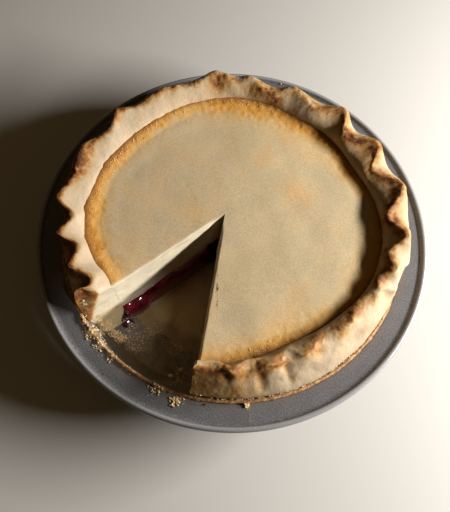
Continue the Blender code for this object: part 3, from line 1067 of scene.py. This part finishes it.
def skirt():
    low = FLANGE_Z + 0.02 * MM

    def section_at(angle):
        x, y = SKIRT_LUMPS * unit(angle)
        rough = noise.fractal(Vector((x, y, 7)), 1.0, 2.0, 3)
        outer = SKIRT_INNER_R + SKIRT_WIDTH + SKIRT_UNEVEN * rim_noise(4 * angle, 5.0)
        outer += 0.28 * MM * rough
        high = low + SKIRT_GAP + SKIRT_HEIGHT + SKIRT_UNEVEN * rim_noise(5 * angle, 6.0)
        high += 0.22 * MM * rough
        return [
            (SKIRT_INNER_R, low),
            (outer, low),
            (outer - 0.12 * SKIRT_WIDTH, low + 0.55 * (high - low)),
            (SKIRT_INNER_R + 0.62 * SKIRT_WIDTH, high),
            (SKIRT_INNER_R + 0.2 * SKIRT_WIDTH, high - 0.1 * MM),
        ]

    mesh = turned("dough_ring", section_at, SKIRT_SEGMENTS, True)
    return piece("dough_ring", mesh, skirt_finish(), "dough_skirt")


# Materials

class Finish:
    """A new material, with short calls for the nodes that the finishes here share."""

    def __init__(self, name, roughness, specular):
        self.material = bpy.data.materials.new(name)
        self.material.use_nodes = True
        self.tree = self.material.node_tree
        self.shader = self.tree.nodes["Principled BSDF"]
        self.place = self.add("ShaderNodeTexCoord").outputs["Object"]
        self.set("Roughness", roughness)
        self.set("Specular IOR Level", specular)

    def add(self, kind, **settings):
        node = self.tree.nodes.new(kind)
        for name, value in settings.items():
            setattr(node, name, value)
        return node

    def plug(self, socket, value):
        """Links a node's output to a socket, or sets the socket to a constant."""
        if isinstance(value, bpy.types.NodeSocket):
            self.tree.links.new(value, socket)
        elif socket.type == "RGBA":
            socket.default_value = (*value, 1)
        else:
            socket.default_value = value

    def set(self, name, value):
        self.plug(self.shader.inputs[name], value)

    def noise(self, size, detail=3.0, rough=0.55):
        """Noise with lumps of that size in mm."""
        node = self.add("ShaderNodeTexNoise")
        self.plug(node.inputs["Vector"], self.place)
        self.plug(node.inputs["Scale"], 1 / (size * MM))
        self.plug(node.inputs["Detail"], detail)
        self.plug(node.inputs["Roughness"], rough)
        return node.outputs["Fac"]

    def cells(self, size):
        """The distance from scattered points, that size in mm apart."""
        node = self.add("ShaderNodeTexVoronoi")
        self.plug(node.inputs["Vector"], self.place)
        self.plug(node.inputs["Scale"], 1 / (size * MM))
        return node.outputs["Distance"]

    def painted(self, name, amount=1):
        """The numbers painted on the piece under that name, times an amount."""
        value = self.add("ShaderNodeAttribute", attribute_name=name).outputs["Fac"]
        return value if amount == 1 else self.calculate("MULTIPLY", value, amount)

    def ramp(self, factor, stops):
        """stops: (position, colour) or (position, grey)."""
        node = self.add("ShaderNodeValToRGB")
        elements = node.color_ramp.elements
        while len(elements) < len(stops):
            elements.new(0.5)
        for element, (position, colour) in zip(elements, stops):
            element.position = position
            element.color = (*colour, 1) if isinstance(colour, tuple) else (colour,) * 3 + (1,)
        self.plug(node.inputs["Fac"], factor)
        return node.outputs["Color"]

    def calculate(self, operation, first, second, clamp=False):
        node = self.add("ShaderNodeMath", operation=operation, use_clamp=clamp)
        self.plug(node.inputs[0], first)
        self.plug(node.inputs[1], second)
        return node.outputs["Value"]

    def mix(self, factor, first, second, blend="MIX"):
        node = self.add("ShaderNodeMix", data_type="RGBA", blend_type=blend)
        for socket, value in zip((0, 6, 7), (factor, first, second)):
            self.plug(node.inputs[socket], value)
        return node.outputs[2]

    def cover(self, below, name, amount, colour):
        """A colour laid over another where the piece is painted under that name."""
        return self.mix(self.painted(name, amount), below, colour)

    def mottled(self, below, amount, spots, low, high, dark):
        """A colour darkened where spots is low, not where it is high."""
        return self.mix(amount, below, self.ramp(spots, [(low, dark), (high, 1.0)]), "MULTIPLY")

    def done(self, colour, layers=()):
        """The material with its colour and its relief in layers of (height, depth in mm)."""
        self.set("Base Color", colour)
        normal = None
        for height, distance in layers:
            node = self.add("ShaderNodeBump")
            self.plug(node.inputs["Distance"], distance * MM)
            self.plug(node.inputs["Height"], height)
            if normal:
                self.plug(node.inputs["Normal"], normal)
            normal = node.outputs["Normal"]
        if normal:
            self.set("Normal", normal)
        return self.material


def crust_finish():
    made = bpy.data.materials.get("baked_dough")
    if made:
        return made
    finish = Finish("baked_dough", 0.62, 0.35)
    brown_and_shade = finish.painted("brown_and_shade")
    speckle = finish.calculate("SUBTRACT", finish.noise(1.5, 4, 0.7), 0.5)
    speckle = finish.calculate("MULTIPLY", speckle, finish.calculate("ADD", brown_and_shade, 0.14))
    baked = finish.ramp(finish.calculate("ADD", brown_and_shade, speckle), [
        (0.0, (0.535, 0.425, 0.30)),
        (0.22, (0.53, 0.385, 0.225)),
        (0.45, (0.46, 0.255, 0.085)),
        (0.7, (0.33, 0.135, 0.034)),
        (1.0, (0.12, 0.040, 0.012)),
    ])
    baked = finish.mottled(baked, 1.0, finish.noise(26), 0.35, 0.65, (0.93, 0.90, 0.84))
    baked = finish.mottled(baked, 0.7, finish.noise(0.9, 2), 0.3, 0.6, (0.88, 0.84, 0.78))
    bare = finish.calculate("SUBTRACT", finish.painted("cut"), finish.painted("brown_and_shade", 1.8), clamp=True)
    baked = finish.mix(finish.calculate("MULTIPLY", bare, 0.9), baked, (0.58, 0.51, 0.375))
    baked = finish.cover(baked, "under", 0.6, (0.52, 0.38, 0.17))
    # Painted shade: the dark crease line, and the dark band where the crust left in the gap drops to
    # the tin.
    baked = finish.cover(baked, "crease", 0.7, (0.20, 0.12, 0.05))
    return finish.done(baked, [(finish.noise(3.2), 0.34), (finish.noise(0.7, 3, 0.65), 0.14)])


def cream_finish():
    finish = Finish("baked_cream", 0.55, 0.22)
    finish.set("Subsurface Weight", 0.12)
    finish.set("Subsurface Radius", (1.0, 0.6, 0.3))
    finish.set("Subsurface Scale", 1.5 * MM)
    toasted = finish.painted("toasted")
    speckle = finish.calculate("SUBTRACT", finish.noise(1.3, 4, 0.7), 0.5)
    speckle = finish.calculate("MULTIPLY", finish.calculate("MULTIPLY", speckle, 0.9), toasted)
    toasted = finish.calculate("ADD", toasted, speckle)
    baked = finish.ramp(finish.noise(34, 3, 0.6), [
        (0.34, (0.62, 0.505, 0.32)),
        (0.5, (0.69, 0.54, 0.33)),
        (0.66, (0.75, 0.52, 0.27)),
    ])
    # Painted light: the paler band inside the toasted ring.
    baked = finish.cover(baked, "painted_lit_band", 0.6, (0.80, 0.66, 0.44))
    for stops, colour in (
        ([(0.0, 0.0), (0.5, 1.0)], (0.74, 0.47, 0.18)),
        ([(0.3, 0.0), (0.8, 1.0)], (0.75, 0.37, 0.07)),
        ([(0.7, 0.0), (1.0, 0.7)], (0.44, 0.18, 0.04)),
    ):
        baked = finish.mix(finish.ramp(toasted, stops), baked, colour)
    # Partly browned edge, partly painted shade where the top touches the crust.
    baked = finish.cover(baked, "brown_edge_and_contact_shade", 0.9, (0.20, 0.075, 0.02))
    # Painted shade: small darker dots stand for the shade in pinholes.
    baked = finish.mottled(baked, 0.8, finish.cells(6.5), 0.03, 0.05, (0.42, 0.30, 0.17))
    baked = finish.mottled(baked, 0.9, finish.noise(0.9, 2), 0.32, 0.62, (0.80, 0.77, 0.72))
    baked = finish.cover(baked, "cut", 1, (0.60, 0.525, 0.385))
    baked = finish.cover(baked, "low", 0.3, (0.55, 0.22, 0.18))
    return finish.done(baked, [(finish.noise(4), 0.06), (finish.noise(0.8, 3, 0.65), 0.07)])


def jelly_finish():
    finish = Finish("cherry_jelly", 0.09, 0.6)
    finish.set("Coat Weight", 0.6)
    finish.set("Coat Roughness", 0.05)
    finish.set("Roughness", finish.ramp(finish.noise(3), [(0.35, 0.04), (0.7, 0.14)]))
    red = finish.ramp(finish.noise(9), [
        (0.3, (0.045, 0.002, 0.006)),
        (0.55, (0.12, 0.004, 0.014)),
        (0.75, (0.24, 0.010, 0.028)),
    ])
    return finish.done(red, [(finish.noise(5, 2), 0.1), (finish.noise(1.2, 2), 0.02)])


def tin_finish():
    finish = Finish("speckled_coat", 0.42, 0.35)
    finish.set("Metallic", 0.1)
    speckle = finish.noise(0.75, 3, 0.75)
    coat = finish.ramp(speckle, [
        (0.34, (0.08, 0.078, 0.082)),
        (0.5, (0.15, 0.146, 0.151)),
        (0.66, (0.27, 0.265, 0.272)),
    ])
    coat = finish.mottled(coat, 1.0, finish.noise(14), 0.35, 0.65, (0.86, 0.86, 0.88))
    grease = finish.ramp(finish.noise(5, 5, 0.75), [
        (0.35, (0.14, 0.10, 0.048)),
        (0.65, (0.36, 0.265, 0.125)),
    ])
    coat = finish.cover(coat, "greasy", 0.75, grease)
    coat = finish.cover(coat, "stain", 0.3, (0.26, 0.16, 0.08))
    # Painted highlight: the bead is painted lighter.
    coat = finish.cover(coat, "bead", 0.6, (0.46, 0.46, 0.47))
    rough = finish.ramp(speckle, [(0.3, 0.34), (0.7, 0.55)])
    finish.set("Roughness", finish.calculate("SUBTRACT", rough, finish.painted("bead", 0.17)))
    return finish.done(coat, [(finish.noise(1.1, 3, 0.6), 0.06)])


def shaded(name, roughness, specular, lumps_of, stops, bumps_of=None, depth=0):
    """A material in a few shades, in lumps, with small bumps where they are given."""
    finish = Finish(name, roughness, specular)
    layers = [(finish.noise(*bumps_of), depth)] if bumps_of else []
    return finish.done(finish.ramp(finish.noise(*lumps_of), stops), layers)


def skirt_finish():
    stops = [(0.3, (0.16, 0.065, 0.022)), (0.5, (0.36, 0.185, 0.07)), (0.7, (0.62, 0.42, 0.22))]
    return shaded("browned_dough", 0.6, 0.4, (2.2, 4, 0.7), stops, (0.9, 3), 0.2)


def crumb_finish(name, dark, middle, pale):
    stops = [(0.3, dark), (0.5, middle), (0.7, pale)]
    return shaded(name, 0.7, 0.3, (1.8, 3, 0.7), stops, (0.5, 2), 0.1)


# Camera, floor and light

def turned_frame(vector):
    return Matrix.Rotation(math.radians(CAMERA_SPIN), 3, "Z") @ vector


CAMERA_PLACE = turned_frame(CAMERA_POS) + Vector((0, 0, FLANGE_Z))
CAMERA_X = turned_frame(CAMERA_RIGHT)
CAMERA_Y = turned_frame(CAMERA_UP)
CAMERA_Z = CAMERA_X.cross(CAMERA_Y)


def camera():
    data = bpy.data.cameras.new("camera")
    data.lens = CAMERA_LENS
    data.sensor_width = CAMERA_SENSOR
    data.clip_start = 0.01
    obj = linked("camera", data)
    turn = Matrix((CAMERA_X, CAMERA_Y, CAMERA_Z)).transposed()
    obj.matrix_world = Matrix.Translation(CAMERA_PLACE) @ turn.to_4x4()
    bpy.context.scene.camera = obj


KEY_AZIMUTH = 28
KEY_ELEVATION = 20.5
KEY_DISTANCE = 0.68
KEY_WIDTH = 0.42
KEY_HEIGHT = 0.06
KEY_WATTS = 11.6
KEY_COLOUR = (1.0, 0.97, 0.92)
# A weak spot that reaches down into the outer end of the gap.
SPOT_TARGET = Vector((-52 * MM, -83 * MM, 4 * MM))
SPOT_AZIMUTH = -14
SPOT_ELEVATION = 52
SPOT_DISTANCE = 0.6
SPOT_ANGLE = 6.5
SPOT_WATTS = 9
FLOOR_HALF = 3.0
AMBIENT = (0.94, 0.6, 0.26)
AMBIENT_STRENGTH = 0.046


def direction(azimuth, elevation):
    turn = math.radians(azimuth)
    rise = math.radians(elevation)
    return Vector((math.cos(turn) * math.cos(rise), math.sin(turn) * math.cos(rise), math.sin(rise)))


def add_light(data, target, way, distance, watts):
    data.energy = watts
    data.color = KEY_COLOUR
    obj = linked(data.name, data)
    obj.location = target + way * distance
    obj.rotation_euler = way.to_track_quat("Z", "Y").to_euler()


def light():
    window = bpy.data.lights.new("window", "AREA")
    window.shape = "RECTANGLE"
    window.size = KEY_WIDTH
    window.size_y = KEY_HEIGHT
    way = direction(KEY_AZIMUTH, KEY_ELEVATION)
    add_light(window, Vector((0, 0, CREAM_TOP)), way, KEY_DISTANCE, KEY_WATTS)
    spot = bpy.data.lights.new("gap_spot", "SPOT")
    spot.spot_size = math.radians(SPOT_ANGLE)
    spot.spot_blend = 1.0
    spot.shadow_soft_size = 0.02
    way = direction(SPOT_AZIMUTH, SPOT_ELEVATION)
    add_light(spot, SPOT_TARGET, way, SPOT_DISTANCE, SPOT_WATTS)
    world = bpy.data.worlds.new("studio")
    world.use_nodes = True
    background = world.node_tree.nodes["Background"]
    background.inputs["Color"].default_value = (*AMBIENT, 1)
    background.inputs["Strength"].default_value = AMBIENT_STRENGTH
    bpy.context.scene.world = world


def floor():
    mesh = bpy.data.meshes.new("floor")
    corners = [(-1, -1), (1, -1), (1, 1), (-1, 1)]
    mesh.from_pydata([(x * FLOOR_HALF, y * FLOOR_HALF, 0) for x, y in corners], [], [(0, 1, 2, 3)])
    mesh.materials.append(Finish("pale_floor", 0.7, 0.3).done((0.62, 0.60, 0.57)))
    obj = linked("floor", mesh)
    obj.visible_diffuse = False


# Crumbs, flakes and grains

def camera_ray(x, y):
    """The direction in which the camera sees a pixel of the photograph."""
    across = (x - PHOTO_SIZE[0] / 2) / FOCAL_PIXELS
    upward = (PHOTO_SIZE[1] / 2 - y) / FOCAL_PIXELS
    return (CAMERA_X * across + CAMERA_Y * upward - CAMERA_Z).normalized()


def ball(detail):
    shape = bmesh.new()
    bmesh.ops.create_icosphere(shape, subdivisions=detail, radius=1.0)
    points = np.array([vert.co for vert in shape.verts])
    faces = np.array([[vert.index for vert in face.verts] for face in shape.faces])
    shape.free()
    return points, faces


SUNK_SHARE = 0.12


class Heap:
    """Small bits of one kind, gathered into one mesh."""

    def __init__(self, name, seed, detail):
        self.name = name
        self.random = np.random.default_rng(seed)
        self.base, self.faces = ball(detail)
        self.points = []

    def add(self, place, normal, size, flat, jagged=0.3):
        """One bit of that size, sunk a little into the surface that carries it."""
        lengths = size * np.array((1.0, self.random.uniform(0.6, 1.0), flat)) / 2
        rough = 1 + jagged * self.random.uniform(-1, 1, len(self.base))
        shape = self.base * rough[:, None] * lengths
        spin = Matrix.Rotation(self.random.uniform(0, 2 * math.pi), 3, "Z")
        tilt = Matrix.Rotation(self.random.uniform(-0.5, 0.5), 3, "X")
        lay = Vector(normal).to_track_quat("Z", "Y").to_matrix()
        turn = np.array(lay @ spin @ tilt)
        shape = shape @ turn.T
        up = np.array(normal)
        lowest = (shape @ up).min()
        lift = -lowest - SUNK_SHARE * size * flat
        self.points.append(shape + np.array(place) + up * lift)

    def finish(self, material, slot):
        count = len(self.points)
        faces = self.faces[None] + (np.arange(count) * len(self.base))[:, None, None]
        mesh = bpy.data.meshes.new(self.name)
        mesh.from_pydata(np.concatenate(self.points).tolist(), [], faces.reshape(-1, 3).tolist())
        mesh.validate()
        obj = piece(self.name, mesh, material)
        mesh.shade_flat()
        return obj


def ground_of(objects):
    """One search tree over the pieces that bits can lie on."""
    points = []
    faces = []
    for obj in objects:
        start = len(points)
        points += [vert.co.copy() for vert in obj.data.vertices]
        faces += [[start + index for index in polygon.vertices] for polygon in obj.data.polygons]
    return BVHTree.FromPolygons(points, faces)


# Heaps of crumbs by pixel of the photograph: x, y, spread in x and y, count, size in mm.
PALE_CRUMBS = (
    (106, 326, 5.5, 5.0, 330, 1.5),
    (101, 322, 3.5, 3.5, 80, 1.4),
    (114, 334, 5.0, 3.5, 100, 1.5),
    (100, 332, 4.0, 4.0, 60, 1.1),
    (121, 338, 5.0, 3.0, 170, 1.2),
    (128, 326, 9.0, 7.0, 110, 0.7),
    (137, 340, 11.0, 8.0, 150, 0.8),
    (134, 349, 8.0, 4.0, 60, 0.8),
    (152, 334, 10.0, 6.0, 70, 0.7),
    (178, 350, 10.0, 6.0, 70, 0.7),
    (84, 320, 3.0, 5.5, 80, 1.0),
    (90, 333, 4.5, 6.0, 120, 1.1),
    (99, 345, 5.0, 5.0, 110, 1.0),
    (112, 357, 6.0, 4.0, 50, 0.9),
    (128, 369, 7.0, 4.0, 24, 0.8),
    (158, 388, 9.0, 4.5, 110, 1.1),
    (176, 401, 5.5, 4.0, 85, 1.2),
    (247, 406, 2.6, 2.2, 30, 1.1),
    (250, 419, 0.8, 7.0, 26, 0.4),
    (197, 396, 3.0, 1.5, 12, 0.8),
    (281, 84, 0.5, 0.5, 2, 1.3),
    (182, 378, 9.0, 8.0, 90, 0.8),
    (220, 240, 1.2, 8.0, 14, 0.6),
    (218, 290, 1.2, 22.0, 30, 0.5),
)
FLAKES = (
    (108, 326, 5.0, 5.0, 12, 2.2),
    (121, 338, 3.0, 1.8, 5, 2.0),
    (180, 368, 1.5, 2.0, 3, 3.2),
    (172, 378, 1.2, 1.2, 2, 3.0),
    (246, 404, 1.6, 1.2, 2, 2.4),
    (92, 332, 2.5, 4.0, 5, 1.8),
    (201, 395, 0.8, 0.8, 2, 2.6),
    (84, 303, 1.8, 2.2, 8, 1.5),
)
DARK_CRUMBS = (
    (128, 320, 8.0, 7.0, 260, 0.8),
    (112, 334, 6.0, 5.0, 60, 0.8),
    (120, 345, 10.0, 7.0, 90, 0.7),
    (88, 330, 5.0, 8.0, 50, 0.8),
    (103, 372, 2.0, 2.0, 3, 1.0),
    (205, 405, 0.5, 0.5, 2, 1.4),
    (244, 404, 3.0, 2.0, 6, 1.1),
    (218, 290, 1.0, 24.0, 30, 0.5),
    (176, 402, 5.0, 3.5, 14, 0.9),
)
JUICE_SPOTS = (
    (126, 318, 7.0, 5.0, 34, 3.2),
    (138, 312, 8.0, 2.5, 16, 2.8),
    (113, 333, 5.0, 4.0, 10, 2.4),
)


def scatter(heap, spots, ground, flat=0.75, steepest=0.3):
    for x, y, spread_x, spread_y, count, size in spots:
        for _ in range(count):
            pixel_x = x + heap.random.normal(0, 1) * spread_x * 0.6
            pixel_y = y + heap.random.normal(0, 1) * spread_y * 0.6
            place, normal, _, _ = ground.ray_cast(CAMERA_PLACE, camera_ray(pixel_x, pixel_y))
            if place is None or normal.z < steepest:
                continue
            heap.add(place, normal, size * MM * (0.4 + heap.random.random() ** 2), flat)


HIGH_ABOVE = 0.2
# Where the browned ring carries sugar: (angle, spread, count).
SUGAR_STRETCHES = ((185, 42, 620), (120, 26, 160), (-48, 14, 150), (40, 40, 60))


def sugar(ground):
    """Coarse sugar and toasted specks on the browned ring of the top layer."""
    heap = Heap("sugar_grains", 7, 1)
    low = RIGHT_CUT_ANGLE - 360
    angles = [heap.random.normal(at, 0.6 * spread) for at, spread, count in SUGAR_STRETCHES
              for _ in range(count)]
    for angle in angles:
        if not low < angle < LEFT_CUT_ANGLE:
            continue
        inside = abs(heap.random.normal(0, 1)) * 3.0 * MM + 0.8 * MM
        radius = inner_radius(np.array([angle]))[0] - inside
        x, y = unit(angle) * radius
        place, normal, _, _ = ground.ray_cast(Vector((x, y, HIGH_ABOVE)), Vector((0, 0, -1)))
        if place is None or abs(place.z - CREAM_TOP) > 3.5 * MM:
            continue
        heap.add(place, normal, (0.25 + 0.45 * heap.random.random() ** 2) * MM, 0.8, 0.2)
    stops = [(0.35, (0.70, 0.42, 0.16)), (0.6, (0.90, 0.78, 0.58))]
    heap.finish(shaded("sugar", 0.3, 0.6, (2, 2), stops), "cream_layer")


# The torn dough along the rim's lower edge, at the front: its angles and how many crumbs.
LIP_ANGLES = (-67, 5)
LIP_COUNT = 330


def lip_crumbs(heap):
    for _ in range(LIP_COUNT):
        angle = heap.random.uniform(*LIP_ANGLES)
        x, y = unit(angle) * (FOOT_R + heap.random.uniform(-0.2, 0.3) * MM)
        z = FOOT_Z + heap.random.uniform(-0.4, 0.7) * MM
        way = Vector((*unit(angle), -0.3)).normalized()
        heap.add(Vector((x, y, z)), way, heap.random.uniform(0.5, 1.2) * MM, 0.9)


def crumbs(ground):
    baked = crumb_finish("crumb_pale", (0.46, 0.27, 0.11), (0.78, 0.57, 0.30), (0.93, 0.80, 0.55))
    burnt = crumb_finish("crumb_dark", (0.03, 0.012, 0.01), (0.10, 0.04, 0.025), (0.22, 0.12, 0.08))
    pale = Heap("crumbs_pale", 11, 1)
    scatter(pale, PALE_CRUMBS, ground, 0.75, 0.1)
    lip_crumbs(pale)
    pale.finish(baked, "crust")
    flakes = Heap("crust_flakes", 13, 2)
    scatter(flakes, FLAKES, ground, 0.5, -1)
    flakes.finish(baked, "crust")
    dark = Heap("crumbs_dark", 12, 1)
    scatter(dark, DARK_CRUMBS, ground)
    dark.finish(burnt, "crust")


def juice(ground):
    """Drops of cherry juice on the tin's floor, beside the cut."""
    drops = Heap("cherry_juice", 14, 3)
    scatter(drops, JUICE_SPOTS, ground, 0.13, 0.8)
    stops = [(0.35, (0.030, 0.010, 0.020)), (0.65, (0.10, 0.012, 0.035))]
    drops.finish(shaded("cherry_juice", 0.08, 0.6, (2.5, 3), stops), "cherry_filling")


def main():
    bpy.context.scene.view_settings.view_transform = "Standard"
    camera()
    light()
    floor()
    carriers = [tin(), skirt(), crust(), remnant(), cream(), filling()]
    ground = ground_of(carriers)
    sugar(ground)
    juice(ground)
    crumbs(ground)


main()
